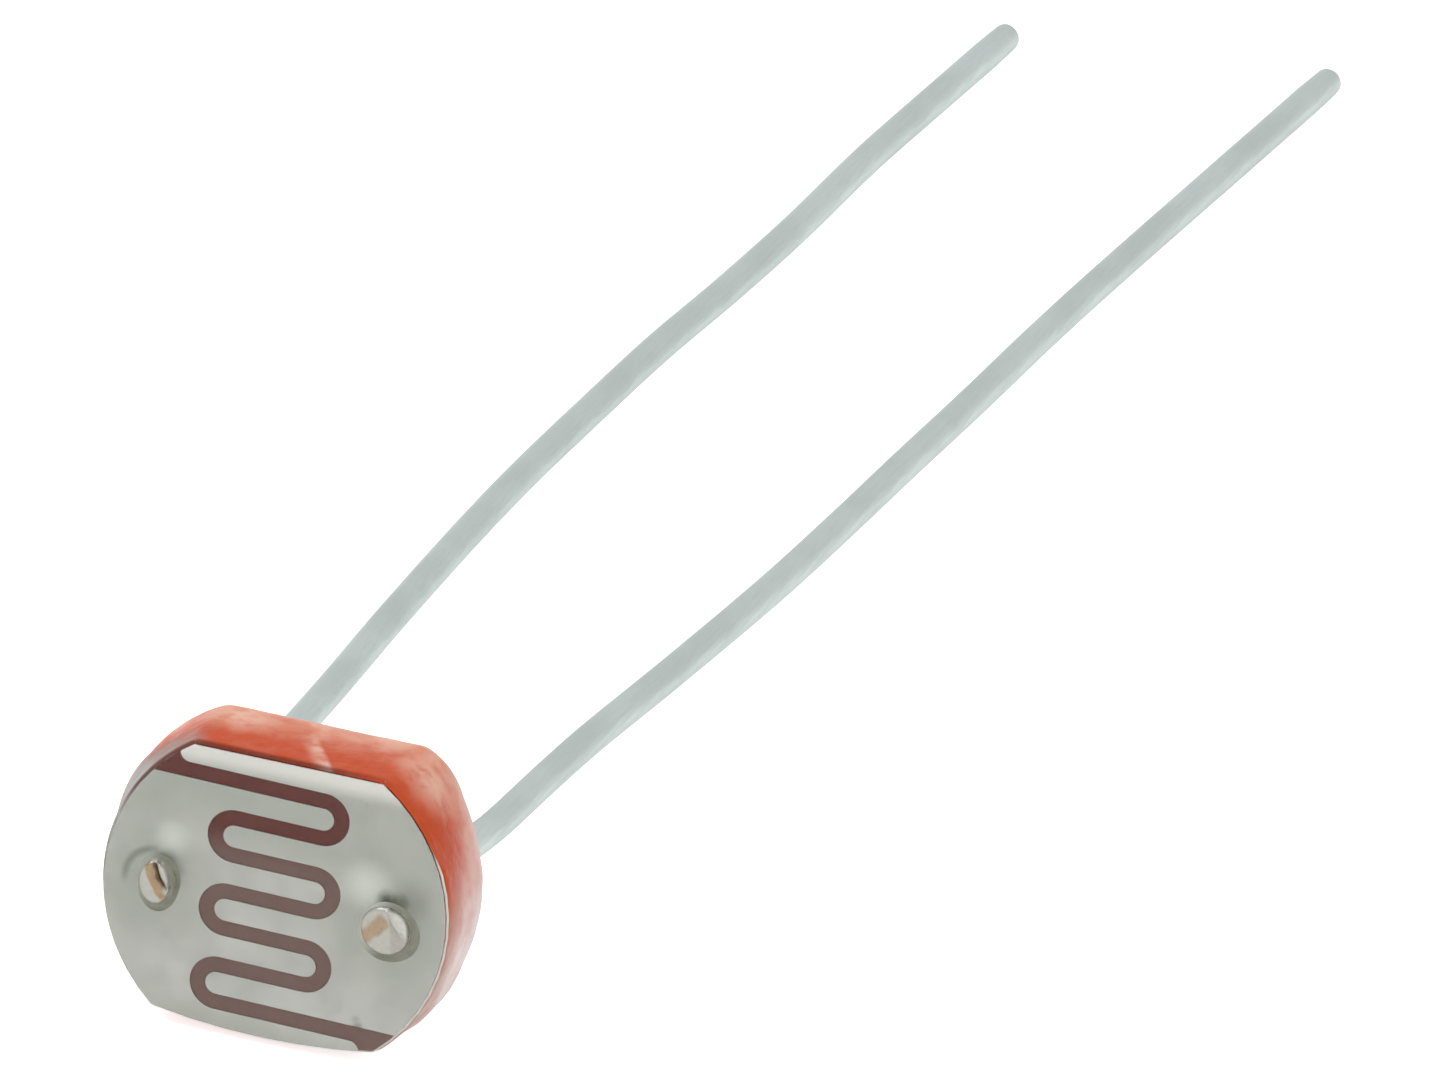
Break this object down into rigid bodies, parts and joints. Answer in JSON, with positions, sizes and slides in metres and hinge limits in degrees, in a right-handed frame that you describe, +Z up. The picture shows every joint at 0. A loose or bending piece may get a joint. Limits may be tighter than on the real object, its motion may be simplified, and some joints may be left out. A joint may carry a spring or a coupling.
{
  "type": "photoresistor",
  "caption": "Round light-sensing resistor with flats, a winding dark track between comb electrodes on its face, an orange resin coat and wire leads behind.",
  "frame": {"origin": "middle of the body's lower flat, on the surface that the part lies on", "axes": "+X to the right across the face, +Y away from the face along the leads, +Z up"},
  "size_m": [0.0054, 0.0438, 0.0043],
  "materials": {
    "ceramic": "matte fired alumina",
    "photoconductor": "matte sintered film",
    "electrode_metal": "satin evaporated metal",
    "conductive_bond": "satin metal paste",
    "tinned_wire": "matte tinned",
    "resin": "semi-gloss dipped resin",
    "varnish": "clear gloss"
  },
  "bodies": {
    "root": {"ceramic_disc": "ceramic", "photoconductor_film": "photoconductor", "electrode_left": "electrode_metal", "electrode_right": "electrode_metal", "bond_left": "conductive_bond", "bond_right": "conductive_bond", "lead_left": "tinned_wire", "lead_right": "tinned_wire", "resin_coat": "resin", "face_varnish": "varnish"}
  },
  "joints": []
}
